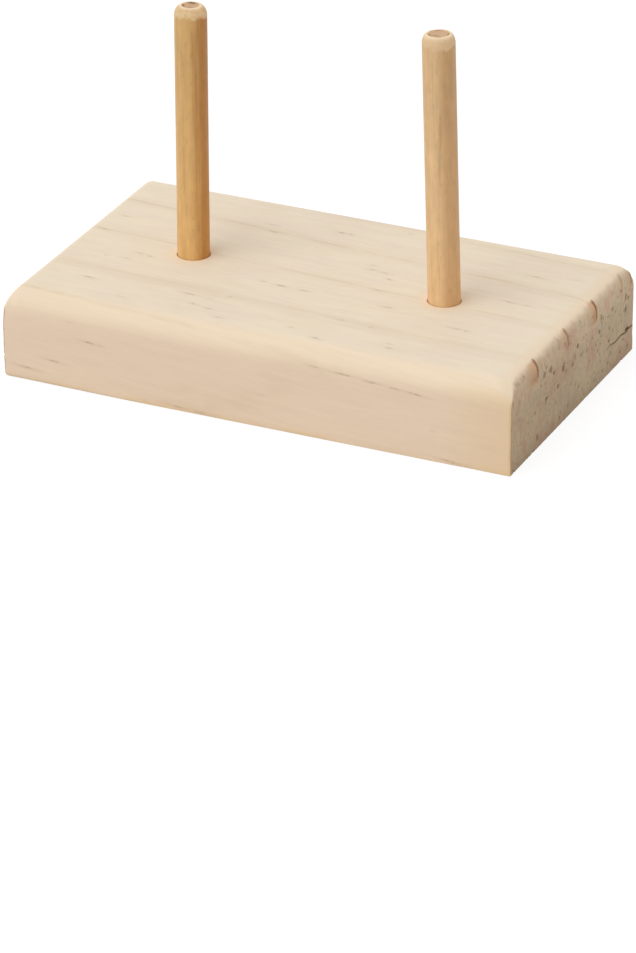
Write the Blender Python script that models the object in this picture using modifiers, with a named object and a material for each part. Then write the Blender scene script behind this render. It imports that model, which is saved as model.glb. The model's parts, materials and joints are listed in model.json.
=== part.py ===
"""Thread stand: a softwood block with a routed top edge and two glued dowel pins.

Metres, +Z up. The origin is the centre of the block's underside, the length
runs along X, and the front edge faces -Y. A reel of thread drops over each pin.
"""

import math

import bmesh
import bpy
from mathutils import Vector

PART_NAME = "thread_stand"

# The block, cut from planed board
BLOCK_LENGTH = 0.1000
BLOCK_WIDTH = 0.0585
BLOCK_THICKNESS = 0.0180
ROUND_OVER_RADIUS = 0.0046
END_ROUND_OVER_WIDTH = 0.0035
ARRIS_EASE = 0.0006

# The pins, cut from dowel rod and sanded round at the tip
PIN_DIAMETER = 0.0060
LEFT_PIN_FROM_END = 0.0251
RIGHT_PIN_FROM_END = 0.0247
PINS_FROM_FRONT = 0.02755
LEFT_PIN_REACH = 0.0487
RIGHT_PIN_REACH = 0.0513
TIP_HEIGHT = 0.0018
LEFT_CROWN_DIAMETER = 0.0034
RIGHT_CROWN_DIAMETER = 0.0039
CROWN_DISH = 0.0002
FOOT_CHAMFER = 0.0005

# The right bore was drilled out of true, so its pin leans towards the left one
LEFT_PIN_LEAN = 0
RIGHT_PIN_LEAN = math.radians(1.7)

# The blind bores, drilled from the top with a twist drill
BORE_CLEARANCE = 0.0002
SEAT_CLEARANCE = 0.0003
BORE_FLOOR = 0.0040
DRILL_POINT_ANGLE = math.radians(118)
CUT_OVERRUN = 0.0020

# Facets
TURNED_SIDES = 48
ROUND_OVER_SEGMENTS = 10
ARRIS_SEGMENTS = 2
TIP_STEPS = 8
MERGE_DISTANCE = 0.000001

# Base colours, as linear red, green, blue
PINE_COLOUR = (0.76, 0.63, 0.47)
AMBER_DOWEL_COLOUR = (0.55, 0.33, 0.14)
PALE_DOWEL_COLOUR = (0.62, 0.42, 0.21)
PLANED_ROUGHNESS = 0.62
DOWEL_ROUGHNESS = 0.50


def clear_scene():
    for obj in list(bpy.data.objects):
        bpy.data.objects.remove(obj, do_unlink=True)


def new_collection(name):
    collection = bpy.data.collections.new(name)
    bpy.context.scene.collection.children.link(collection)
    return collection


def wood_material(name, colour, roughness):
    material = bpy.data.materials.new(name)
    material.use_nodes = True
    shader = material.node_tree.nodes["Principled BSDF"]
    shader.inputs["Base Color"].default_value = (*colour, 1)
    shader.inputs["Roughness"].default_value = roughness
    shader.inputs["Metallic"].default_value = 0
    material.diffuse_color = (*colour, 1)
    return material


def mesh_object(name, bm, collection):
    mesh = bpy.data.meshes.new(name)
    bm.to_mesh(mesh)
    bm.free()
    obj = bpy.data.objects.new(name, mesh)
    collection.objects.link(obj)
    return obj


def turned_object(name, profile, collection):
    """A solid of revolution about Z, from (radius, height) points that run top to bottom."""
    bm = bmesh.new()
    verts = [bm.verts.new((radius, 0, height)) for radius, height in profile]
    for upper, lower in zip(verts, verts[1:]):
        bm.edges.new((upper, lower))
    obj = mesh_object(name, bm, collection)
    screw = obj.modifiers.new("Turn", "SCREW")
    screw.axis = "Z"
    screw.steps = screw.render_steps = TURNED_SIDES
    screw.use_merge_vertices = True
    screw.merge_threshold = MERGE_DISTANCE
    screw.use_smooth_shade = True
    return obj


def bore_depth():
    """Depth of the bore's straight wall, which leaves BORE_FLOOR of wood under the drill's point."""
    return BLOCK_THICKNESS - BORE_FLOOR - drill_point_height()


def bore_radius():
    return PIN_DIAMETER / 2 + BORE_CLEARANCE


def drill_point_height():
    return bore_radius() / math.tan(DRILL_POINT_ANGLE / 2)


def pin_places():
    """Where each pin's axis meets the block's top face, its lean, its reach and its crown."""
    row_y = PINS_FROM_FRONT - BLOCK_WIDTH / 2
    left_x = LEFT_PIN_FROM_END - BLOCK_LENGTH / 2
    right_x = BLOCK_LENGTH / 2 - RIGHT_PIN_FROM_END
    return {
        "left": (Vector((left_x, row_y, BLOCK_THICKNESS)), LEFT_PIN_LEAN, LEFT_PIN_REACH, LEFT_CROWN_DIAMETER),
        "right": (Vector((right_x, row_y, BLOCK_THICKNESS)), RIGHT_PIN_LEAN, RIGHT_PIN_REACH, RIGHT_CROWN_DIAMETER),
    }


def pin_profile(reach, crown_diameter):
    """From the dished crown over the sanded shoulder and down to the chamfered foot."""
    radius = PIN_DIAMETER / 2
    crown_radius = crown_diameter / 2
    seat = bore_depth() - SEAT_CLEARANCE
    points = [(0, reach - CROWN_DISH)]
    for step in range(TIP_STEPS + 1):
        turn = math.pi / 2 * (1 - step / TIP_STEPS)
        inset = (radius - crown_radius) * (1 - math.cos(turn))
        points.append((radius - inset, reach - TIP_HEIGHT + TIP_HEIGHT * math.sin(turn)))
    points.append((radius, FOOT_CHAMFER - seat))
    points.append((radius - FOOT_CHAMFER, -seat))
    points.append((0, -seat))
    return points


def bore_profile():
    """The drill's outline, from above the block down to its point."""
    depth = bore_depth()
    return [
        (0, CUT_OVERRUN),
        (bore_radius(), CUT_OVERRUN),
        (bore_radius(), -depth),
        (0, -depth - drill_point_height()),
    ]


def touches(edge, height):
    return any(abs(vert.co.z - height) < MERGE_DISTANCE for vert in edge.verts)


def lies_at(edge, height):
    return all(abs(vert.co.z - height) < MERGE_DISTANCE for vert in edge.verts)


def route_top_edge(bm):
    """Rounds the top's four edges with one cutter, then narrows the round-over where the end grain was sanded."""
    top_edges = [edge for edge in bm.edges if lies_at(edge, BLOCK_THICKNESS)]
    bmesh.ops.bevel(
        bm, geom=top_edges, offset=ROUND_OVER_RADIUS, offset_type="OFFSET",
        segments=ROUND_OVER_SEGMENTS, profile=0.5, affect="EDGES"
    )
    half_length = BLOCK_LENGTH / 2
    for vert in bm.verts:
        from_end = half_length - abs(vert.co.x)
        if from_end < ROUND_OVER_RADIUS + MERGE_DISTANCE:
            sanded = from_end * END_ROUND_OVER_WIDTH / ROUND_OVER_RADIUS
            vert.co.x = math.copysign(half_length - sanded, vert.co.x)


def ease_arrises(block):
    """Eases the upright and bottom edges, which were marked on the block's mesh."""
    bevel = block.modifiers.new("Eased arrises", "BEVEL")
    bevel.limit_method = "WEIGHT"
    bevel.edge_weight = "eased_edges"
    bevel.width = ARRIS_EASE
    bevel.segments = ARRIS_SEGMENTS


def make_block(collection):
    """The board's offcut, with its top edge routed round and its other arrises just eased."""
    bm = bmesh.new()
    bmesh.ops.create_cube(bm, size=1)
    bmesh.ops.translate(bm, vec=(0, 0, 0.5), verts=bm.verts)
    bmesh.ops.scale(bm, vec=(BLOCK_LENGTH, BLOCK_WIDTH, BLOCK_THICKNESS), verts=bm.verts)
    route_top_edge(bm)
    eased = bm.edges.layers.float.new("eased_edges")
    for edge in bm.edges:
        edge[eased] = 1.0 if touches(edge, 0) else 0.0
    block = mesh_object("base_block", bm, collection)
    ease_arrises(block)
    block.data.materials.append(wood_material("planed_pine", PINE_COLOUR, PLANED_ROUGHNESS))
    return block


def drill_bores(block, cutters):
    for side, (foot, lean, _reach, _crown) in pin_places().items():
        drill = turned_object(f"{side}_bore_drill", bore_profile(), cutters)
        drill.location = foot
        drill.rotation_euler = (0, -lean, 0)
        drill.hide_render = True
        drill.display_type = "WIRE"
        bore = block.modifiers.new(f"{side} bore", "BOOLEAN")
        bore.operation = "DIFFERENCE"
        bore.solver = "EXACT"
        bore.object = drill


def make_pins(collection):
    materials = {
        "left": wood_material("amber_dowel", AMBER_DOWEL_COLOUR, DOWEL_ROUGHNESS),
        "right": wood_material("pale_dowel", PALE_DOWEL_COLOUR, DOWEL_ROUGHNESS),
    }
    for side, (foot, lean, reach, crown_diameter) in pin_places().items():
        pin = turned_object(f"{side}_pin", pin_profile(reach, crown_diameter), collection)
        pin.location = foot
        pin.rotation_euler = (0, -lean, 0)
        pin.data.materials.append(materials[side])


def main():
    clear_scene()
    parts = new_collection(PART_NAME)
    cutters = new_collection("bore_cutters")
    block = make_block(parts)
    drill_bores(block, cutters)
    make_pins(parts)


main()
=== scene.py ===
"""The looks of a thread stand: a routed pine block that carries two round-tipped dowel pins."""

import json
import math

import bmesh
import bpy
from mathutils import Matrix, Vector


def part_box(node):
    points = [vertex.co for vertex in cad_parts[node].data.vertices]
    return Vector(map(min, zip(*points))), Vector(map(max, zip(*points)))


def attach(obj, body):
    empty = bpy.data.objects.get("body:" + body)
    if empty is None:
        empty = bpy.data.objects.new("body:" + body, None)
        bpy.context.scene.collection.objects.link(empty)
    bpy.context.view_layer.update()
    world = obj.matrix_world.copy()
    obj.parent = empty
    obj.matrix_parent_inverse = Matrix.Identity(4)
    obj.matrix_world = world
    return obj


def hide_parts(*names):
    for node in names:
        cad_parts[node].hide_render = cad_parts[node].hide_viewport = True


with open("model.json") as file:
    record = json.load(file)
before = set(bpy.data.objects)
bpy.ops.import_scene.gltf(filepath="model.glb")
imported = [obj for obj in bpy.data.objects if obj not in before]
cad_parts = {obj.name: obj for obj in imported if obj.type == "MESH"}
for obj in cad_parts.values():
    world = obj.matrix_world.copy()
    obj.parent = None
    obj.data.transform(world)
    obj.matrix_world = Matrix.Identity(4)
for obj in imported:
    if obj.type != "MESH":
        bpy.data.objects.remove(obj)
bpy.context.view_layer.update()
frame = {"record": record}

bl_info = {
    "name": "Thread Stand",
    "version": (1, 0, 0),
    "blender": (4, 5, 0),
    "location": "View3D > Sidebar > Thread Stand",
    "description": "Builds a routed pine block with two dowel pins for reels of thread",
    "category": "Add Mesh",
}

MM = 0.001
PER_MM = 1000.0
WELD = 0.001 * MM
FULL_TURN = math.pi * 2
QUARTER_TURN = math.pi / 2
EIGHTH_TURN = math.pi / 4
SHARP_ANGLE = math.radians(40)

BLOCK_LOW, BLOCK_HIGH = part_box("base_block")
LEFT_LOW, LEFT_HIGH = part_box("left_pin")
SEATS = {mount["name"]: Vector(mount["pos_m"]) for mount in frame["record"]["mounts"]}
PIN_ROW_Y = (LEFT_LOW.y + LEFT_HIGH.y) / 2
LEFT_FOOT = Vector((SEATS["left_reel_seat"].x, PIN_ROW_Y, BLOCK_HIGH.z))
RIGHT_FOOT = Vector((SEATS["right_reel_seat"].x, PIN_ROW_Y, BLOCK_HIGH.z))


def linear(red, green, blue):
    """A colour seen on screen, in 0 to 255, as the linear colour that a shader takes."""
    def decode(level):
        share = level / 255
        return share / 12.92 if share <= 0.04045 else ((share + 0.055) / 1.055) ** 2.4
    return decode(red), decode(green), decode(blue)


def length_property(name, description, default):
    return bpy.props.FloatProperty(
        name=name, description=description, default=default, min=0, precision=5,
        subtype="DISTANCE", unit="LENGTH",
    )


def angle_property(name, description, degrees):
    return bpy.props.FloatProperty(
        name=name, description=description, default=math.radians(degrees), subtype="ANGLE", unit="ROTATION"
    )


def colour_property(name, description, default):
    return bpy.props.FloatVectorProperty(
        name=name, description=description, default=default, size=3, min=0, max=1, subtype="COLOR"
    )


def level_property(name, description, default):
    return bpy.props.FloatProperty(name=name, description=description, default=default, min=0)


class BlockSettings(bpy.types.PropertyGroup):
    """Sizes and colours of the pine block"""

    length: length_property("Length", "Length along the grain", BLOCK_HIGH.x - BLOCK_LOW.x)
    width: length_property("Width", "Width across the grain", BLOCK_HIGH.y - BLOCK_LOW.y)
    thickness: length_property("Thickness", "Thickness of the board", BLOCK_HIGH.z - BLOCK_LOW.z)
    round_over: length_property("Round-over", "Radius routed on the top edges", 4.6 * MM)
    end_round_over: length_property("End round-over", "Width that sanding left of it at the ends", 3.5 * MM)
    arris: length_property("Arris", "Radius eased on the upright and bottom edges", 0.45 * MM)
    fullness: length_property("Fullness", "How much fuller the right-hand end's round-over is", 0.40 * MM)
    left_wear: length_property("Left wear", "How far sanding set back the left-hand round-over", 0.24 * MM)
    splay: length_property("Splay", "How far the left-hand end stands out below its round-over", 0.35 * MM)
    corner: length_property("Corner", "Radius rubbed on the near right upper corner", 2.6 * MM)
    far_corner: length_property("Far corners", "Radius rubbed on the other upper corners", 1.0 * MM)
    ridge: length_property("Ridge", "How far the hard rings stand proud where the end was sanded", 0.16 * MM)
    pit: length_property("Pit", "Depth of the torn pits in the end grain", 0.45 * MM)
    bore: length_property("Bore", "Diameter of the drilled bores", 6.2 * MM)
    flare: length_property("Flare", "Width of the crushed rim round each bore", 0.06 * MM)
    earlywood: colour_property("Earlywood", "The pale wood of spring", linear(240, 225, 201))
    pinkwood: colour_property("Pinkish wood", "The pinker patches of the pale wood", linear(239, 223, 201))
    latewood: colour_property("Latewood", "The darker wood at the end of each ring", linear(212, 187, 151))
    # The routed colour's extra lightness is partly a painted highlight on the round-overs
    routed: colour_property("Routed", "The freshly cut wood of the round-over", linear(244, 223, 194))
    flat_grain: colour_property("Flat grain", "The warmer wood of the front and back", linear(237, 212, 185))
    end_grain: colour_property("End grain", "Pale wood cut across the grain", linear(204, 183, 151))
    end_pink: colour_property("Pinkish end grain", "The pinker patches of it", linear(200, 172, 146))
    end_grey: colour_property("Greyish end grain", "The fuzzy, greyer patches of it", linear(197, 177, 150))
    hard_ring: colour_property("Hard ring", "Hard wood cut across the grain", linear(218, 168, 130))
    # The ring line's colour also serves as painted shade: behind the hard rings' caps and near the foot of
    # the end
    ring_line_and_shade: colour_property("Ring line", "The dark line that closes a hard ring", linear(128, 88, 56))
    edge: colour_property("Edge", "The rubbed edges of the front", linear(231, 198, 150))
    burnished: colour_property("Burnished", "The rubbed edges of the ends", linear(196, 156, 116))
    resin: colour_property("Resin", "Resin canals that the plane laid open", linear(142, 104, 60))
    # Painted shade: the dark put into the end grain's pits, the drying check and the bores
    hollow_shade: colour_property("Hollow", "The dark of pits and cracks", linear(96, 54, 20))


class PinSettings(bpy.types.PropertyGroup):
    """Sizes and colours of the two dowel pins"""

    diameter: length_property("Diameter", "Diameter of the dowel rod", LEFT_HIGH.x - LEFT_LOW.x)
    left_reach: length_property("Left reach", "Length of it over the block", LEFT_HIGH.z - BLOCK_HIGH.z)
    right_reach: length_property("Right reach", "Length of the right pin over the block", 51.3 * MM)
    seat: length_property("Seat", "Length of pin held in the bore", BLOCK_HIGH.z - LEFT_LOW.z)
    left_lean: angle_property("Left lean", "Lean of the left pin", 0.0)
    right_lean: angle_property("Right lean", "Lean of the right pin towards the left one", 1.85)
    left_crown: length_property("Left crown", "Diameter of the left pin's flat crown", 3.4 * MM)
    right_crown: length_property("Right crown", "Diameter of the right pin's flat crown", 4.2 * MM)
    tip: length_property("Tip", "Height of the sanded shoulder", 1.8 * MM)
    chamfer: length_property("Foot chamfer", "Chamfer at the buried foot", 0.5 * MM)
    amber: colour_property("Amber", "Wood of the left pin", linear(220, 175, 112))
    # Painted shade down the left pin's side turned from the light, and its darker streaks
    amber_shade: colour_property("Amber shade", "The darker growth in the left pin", linear(186, 128, 63))
    pale: colour_property("Pale", "Wood of the right pin", linear(227, 188, 139))
    # Painted shade down the right pin's side turned from the light, and its darker streaks
    pale_shade: colour_property("Pale shade", "The darker growth in the right pin", linear(206, 162, 113))
    sanded: colour_property("Sanded", "Freshly sanded wood of the tips", linear(226, 197, 158))
    # Painted highlight round each crown's rim
    rim: colour_property("Rim", "The brightly sanded rim round each crown", linear(250, 226, 192))
    crown: colour_property("Crown", "End grain of the crowns", linear(206, 168, 136))
    # The colour of the dark marks on the crowns
    dark_mark: colour_property("Smudge", "The dark rim that the saw left on the crowns", linear(96, 72, 52))
    fleck: colour_property("Fleck", "Pores and short dark fibres", linear(150, 100, 58))


class StageSettings(bpy.types.PropertyGroup):
    """The camera and the studio light"""

    azimuth: angle_property("Azimuth", "Camera's turn to the right of the front", 24.685)
    elevation: angle_property("Elevation", "Camera's height over the horizon", 26.384)
    roll: angle_property("Roll", "Camera's roll", -0.085)
    distance: length_property("Distance", "From the lens to the underside's centre", 947.67 * MM)
    key_level: level_property("Key level", "Light of the soft key lamp on a surface that faces it", 0.36)
    room_level: level_property("Room level", "Light that comes from the room all round", 0.995)
    room_left: level_property("Room left", "How much brighter the room is on the left", 0.07)
    room_behind: level_property("Room behind", "How much brighter the room is behind the stand", 0.13)
    room_above: level_property("Room above", "How much darker the room is overhead", 0.49)


class Wire:
    """One socket of a node tree, so that node maths reads as a plain expression."""

    def __init__(self, bench, socket):
        self.bench = bench
        self.socket = socket

    def __add__(self, other):
        return self.bench.maths("ADD", self, other)

    __radd__ = __add__

    def __sub__(self, other):
        return self.bench.maths("SUBTRACT", self, other)

    def __rsub__(self, other):
        return self.bench.maths("SUBTRACT", other, self)

    def __mul__(self, other):
        return self.bench.maths("MULTIPLY", self, other)

    __rmul__ = __mul__

    def __truediv__(self, other):
        return self.bench.maths("DIVIDE", self, other)

    def __pow__(self, other):
        return self.bench.maths("POWER", self, other)

    def __abs__(self):
        return self.bench.maths("ABSOLUTE", self)


class Bench:
    """Adds nodes to one shader or geometry tree."""

    def __init__(self, tree):
        self.tree = tree

    def node(self, kind, settings=(), inputs=(), out=0):
        """One node, given its settings and its sockets' values or links, as the wire it puts out."""
        made = self.tree.nodes.new(kind)
        for name, value in dict(settings).items():
            setattr(made, name, value)
        for key, value in dict(inputs).items():
            self.feed(made.inputs[key], value)
        return Wire(self, made.outputs[out])

    def feed(self, socket, value):
        if isinstance(value, Wire):
            self.tree.links.new(value.socket, socket)
        else:
            socket.default_value = value

    def maths(self, operation, *values):
        return self.node("ShaderNodeMath", {"operation": operation}, dict(enumerate(values)))

    def lower(self, first, second):
        return self.maths("MINIMUM", first, second)

    def higher(self, first, second):
        return self.maths("MAXIMUM", first, second)

    def vector(self, x, y, z):
        return self.node("ShaderNodeCombineXYZ", (), {"X": x, "Y": y, "Z": z})

    def parts(self, vector):
        split = self.node("ShaderNodeSeparateXYZ", (), {"Vector": vector}).socket.node
        return [Wire(self, output) for output in split.outputs]

    def vector_maths(self, operation, *values):
        return self.node("ShaderNodeVectorMath", {"operation": operation}, dict(enumerate(values)))

    def scaled(self, vector, factor):
        return self.node("ShaderNodeVectorMath", {"operation": "SCALE"}, {0: vector, "Scale": factor})

    def reach(self, place, middle, half_sizes):
        """How far a place lies from a spot's middle, where 1 is on the spot's outline."""
        away = self.vector_maths("DIVIDE", self.vector_maths("SUBTRACT", place, middle), half_sizes)
        return self.node("ShaderNodeVectorMath", {"operation": "LENGTH"}, {0: away}, "Value")

    def ramp(self, value, low, high, start=0.0, end=1.0, kind="LINEAR"):
        """The value's place between low and high, held at start below and at end above."""
        sockets = {"Value": value, "From Min": low, "From Max": high, "To Min": start, "To Max": end}
        return self.node("ShaderNodeMapRange", {"clamp": True, "interpolation_type": kind}, sockets)

    def smooth(self, value, low, high, start=0.0, end=1.0):
        return self.ramp(value, low, high, start, end, "SMOOTHSTEP")

    def blend(self, factor, first, second):
        """A number between two numbers."""
        return self.node("ShaderNodeMix", {"data_type": "FLOAT"}, {0: factor, 2: first, 3: second})

    def mix(self, factor, first, second, kind="MIX"):
        """A colour between two colours."""
        settings = {"data_type": "RGBA", "blend_type": kind}
        colours = [colour if isinstance(colour, Wire) else (*colour, 1.0)[:4] for colour in (first, second)]
        return self.node("ShaderNodeMix", settings, {0: factor, 6: colours[0], 7: colours[1]}, 2)

    def toned(self, colour, tone):
        """A colour made lighter or darker."""
        grey = self.node("ShaderNodeCombineColor", (), {0: tone, 1: tone, 2: tone})
        return self.mix(1.0, colour, grey, "MULTIPLY")

    def noise(self, x, y, z, detail=2.0, roughness=0.5):
        """Smooth noise from 0 to 1, about 0.5, with one wave for each unit of x, y or z."""
        sockets = {"Vector": self.vector(x, y, z), "Scale": 1.0, "Detail": detail, "Roughness": roughness}
        return self.node("ShaderNodeTexNoise", {"noise_dimensions": "3D"}, sockets)

    def cells(self, x, y, z):
        """Random points, one in each unit cube: the distance to the nearest, and that point's own numbers."""
        settings = {"voronoi_dimensions": "3D", "feature": "F1"}
        sockets = {"Vector": self.vector(x, y, z), "Scale": 1.0}
        near = self.node("ShaderNodeTexVoronoi", settings, sockets).socket.node
        shading = self.tree.bl_idname == "ShaderNodeTree"
        kind = "ShaderNodeSeparateColor" if shading else "FunctionNodeSeparateColor"
        own = self.node(kind, (), {0: Wire(self, near.outputs["Color"])}).socket.node
        return Wire(self, near.outputs["Distance"]), [Wire(self, output) for output in own.outputs][:3]


# The grain of the pine, in millimetres, shared by the block's shape and its colours

RING_SLOPE = 0.060
RING_FAN = 0.00088
RING_TILT = -0.08
TOP_GRAIN_SLOPE = 0.06
FRONT_GRAIN_SLOPE = 0.083

# Each hard ring: where it ends on the right-hand end, its width there, its strength there, in the soft band
# along the top and in the thin line along the top
HARD_RINGS = (
    (-28.2, 1.0, 0.0, 0.2, 1.0), (-16.8, 6.2, 1.0, 0.8, 0.4), (-2.6, 2.4, 0.7, 0.5, 0.5),
    (10.8, 4.2, 1.0, 0.8, 0.8), (23.5, 1.8, 0.35, 0.9, 0.5), (28.0, 1.1, 0.7, 0.3, 0.2),
)

# A hard ring's profile: where each feature starts and ends, past the place where the ring ends
RING_CLOSING = (0.0, 0.40)
RING_FADING = (-1.4, 0.2)
BAND_RISE = (-5.0, -1.8)
LINE_RISE = (-2.15, -1.85)
LINE_FALL = (-1.75, -1.3)
CAP_FULL = -0.4
ARC_RISE = (-0.95, -0.45)
DIP_FALL = (0.2, 2.4)

# The half sizes across the grain of a resin canal laid open on the top and on the front
TOP_CANAL_SPREAD = (0.32, 1.5)
FRONT_CANAL_SPREAD = (1.0, 0.24)

# Resin canals that the plane laid open on the top: the middle's x and y, the length, and how dark each one is
TOP_CANALS = (
    (-17.2, 16.4, 2.6, 0.45), (-15.9, 13.5, 3.4, 0.45), (-44.0, 8.8, 2.8, 0.40), (-45.2, 1.9, 3.4, 0.35),
    (-34.1, -5.5, 2.2, 0.55), (-31.7, -6.0, 1.8, 0.40), (-35.4, -8.6, 2.2, 0.25), (-39.3, -8.7, 1.4, 0.25),
    (-17.8, -18.1, 3.6, 0.5), (-13.9, -18.5, 2.0, 0.3), (-37.7, -19.0, 3.4, 0.5), (-15.2, -21.6, 1.7, 0.5),
    (-12.2, -22.4, 3.8, 0.40), (-28.5, -24.2, 2.0, 0.30), (-4.0, 18.3, 2.0, 0.65), (-2.2, 18.3, 1.4, 0.40),
    (7.3, 7.3, 1.6, 0.35), (8.1, 5.4, 2.0, 0.50), (10.7, 5.1, 2.3, 0.45), (12.5, 2.7, 1.8, 0.45),
    (12.3, -2.6, 3.2, 0.30), (-8.0, -7.6, 2.6, 0.35), (-4.2, -8.0, 3.1, 0.70), (0.5, -8.3, 3.4, 0.40),
    (17.1, -8.7, 2.9, 0.65), (-10.6, -16.2, 1.4, 0.35), (12.0, -17.1, 1.7, 0.30), (18.0, -17.8, 1.3, 0.30),
    (4.9, -23.6, 1.5, 0.35), (-8.9, -25.0, 3.2, 0.35), (10.7, -25.7, 2.2, 0.50), (36.6, 14.7, 2.8, 0.50),
    (43.3, 16.4, 2.6, 0.25), (36.4, 2.5, 3.4, 0.50), (39.6, 2.4, 2.8, 0.35), (31.8, -12.0, 2.6, 0.50),
    (34.0, -12.1, 1.7, 0.40), (23.8, -22.8, 2.0, 0.25), (24.4, -24.4, 1.2, 0.65), (7.8, 23.1, 1.5, 0.40),
)

# The same on the front, with the middle's x and z
FRONT_CANALS = (
    (-32.9, 10.1, 3.6, 0.90), (-30.4, 9.9, 2.0, 0.45), (-39.9, 5.0, 4.4, 0.80), (-45.6, 2.65, 4.6, 1.00),
    (12.0, 14.05, 3.2, 0.60), (17.9, 13.58, 6.0, 0.80), (23.2, 13.14, 5.0, 0.75), (27.7, 12.77, 4.0, 0.60),
    (31.6, 12.45, 4.4, 0.90), (-15.2, 0.80, 5.0, 0.55), (-10.6, 0.55, 4.6, 0.55), (38.4, 0.70, 6.8, 0.70),
    (1.8, 6.45, 1.8, 0.30), (35.2, 6.0, 1.6, 0.40), (-36.7, 13.4, 1.6, 0.30),
)

# Pits torn in the right-hand end: the middle's y and z, the width, the height and how dark each one is
END_PITS = (
    (-10.8, 13.0, 0.85, 1.35, 1.0), (-9.4, 11.7, 0.9, 0.8, 0.9), (-13.9, 13.1, 1.1, 1.3, 0.5),
    (-13.0, 14.4, 0.7, 0.5, 0.5), (-12.8, 8.1, 1.2, 0.75, 0.9), (-13.3, 7.4, 0.7, 0.8, 0.45),
    (-7.4, 8.2, 0.8, 0.9, 0.95), (-5.0, 10.7, 1.1, 1.2, 0.8), (-4.6, 11.5, 0.9, 0.5, 0.6),
    (-3.7, 9.6, 1.2, 0.5, 0.35), (-0.4, 9.5, 1.0, 0.9, 0.6), (-1.8, 14.2, 0.6, 0.5, 0.35),
    (-1.8, 6.1, 0.8, 0.4, 0.3), (-28.3, 13.7, 0.5, 0.8, 0.4), (-25.4, 12.7, 0.7, 1.2, 0.3),
    (-16.9, 2.1, 1.3, 1.6, 0.4), (-2.5, 2.2, 0.8, 1.0, 0.3), (1.8, 12.2, 1.1, 0.8, 1.0),
    (0.6, 10.8, 0.8, 1.1, 0.4), (3.5, 9.7, 0.9, 0.9, 0.35), (2.6, 3.8, 1.0, 0.8, 0.35),
    (13.1, 13.0, 0.8, 1.4, 0.6), (12.3, 10.7, 0.8, 0.9, 0.45), (12.8, 8.0, 0.6, 0.9, 0.55),
    (16.4, 12.0, 0.6, 0.5, 0.55), (18.5, 12.6, 1.2, 0.7, 0.5), (20.1, 11.4, 0.5, 0.7, 0.45),
    (21.0, 13.9, 0.8, 0.4, 0.4), (17.3, 9.3, 0.9, 0.7, 0.5), (17.2, 6.8, 0.9, 0.6, 0.8),
    (22.5, 14.5, 1.1, 0.6, 0.4), (25.2, 12.3, 1.0, 1.2, 0.75), (26.5, 11.6, 1.2, 0.6, 0.7),
    (25.4, 9.7, 1.2, 1.2, 0.75), (24.3, 4.1, 0.8, 0.5, 0.6), (25.9, 6.3, 0.5, 0.7, 0.4),
    (26.1, 5.2, 1.9, 1.2, 1.0), (22.8, 2.1, 0.9, 0.6, 0.45), (16.8, 2.4, 0.9, 0.6, 0.45),
    (14.2, 1.9, 0.9, 0.6, 0.45), (26.5, 1.9, 0.8, 1.2, 0.4), (10.2, 1.8, 1.0, 0.6, 0.35),
)

# The drying check in the right-hand end, from its height at the back edge on
CHECK_HEIGHT = 5.05
CHECK_RISE = 0.038
CHECK_REACH = 15.5
CHECK_WAVES = 19.0
CHECK_WOBBLE = 0.12
CHECK_MOUTH = 0.22
CHECK_DEPTH = 1.4

# The upper corners' rubbing starts and ends this far below the top, as shares of the round-over
RUBBED_FROM = 1.1
RUBBED_TO = 0.35


def across_rings(bench, x, y, z, half_length, thickness):
    """A point's place across the rings, as the y at which its ring meets the right-hand end."""
    wander = (bench.noise(x * 0.012, y * 0.02, z * 0.02, 1.0) - 0.5) * 1.4
    ripple = (bench.noise(x * 0.06, y * 0.3, z * 0.3, 1.0) - 0.5) * 0.9
    away_from_end = bench.smooth(x, half_length - 25.0, half_length - 4.0, 1.0, 0.15)
    bend = (half_length - x) * (y * RING_FAN + RING_SLOPE)
    return y - bend + (z - thickness) * RING_TILT + (wander + ripple) * away_from_end


def hard_rings(bench, across):
    """The hard rings: band and line along the top, the sanded cap, the arc that closes it, and the dip."""
    def over(end, span, start=0.0, stop=1.0):
        return bench.smooth(across, end + span[0], end + span[1], start, stop)

    band = line = cap = arc = dip = 0.0
    for end, width, end_strength, band_strength, line_strength in HARD_RINGS:
        closed = 1.0 - over(end, RING_CLOSING)
        faded = 1.0 - over(end, RING_FADING)
        band = bench.higher(band, over(end, BAND_RISE, 0.0, band_strength) * faded)
        thin = over(end, LINE_RISE) * over(end, LINE_FALL, 1.0, 0.0)
        line = bench.higher(line, thin * line_strength)
        if end_strength:
            cap = bench.higher(cap, over(end, (-width, CAP_FULL), 0.0, end_strength) * closed)
            arc = bench.higher(arc, over(end, ARC_RISE, 0.0, end_strength) * closed)
            dip = bench.higher(dip, over(end, DIP_FALL, end_strength, 0.0) * (1.0 - closed))
    return band, line, cap, arc, dip


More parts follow.
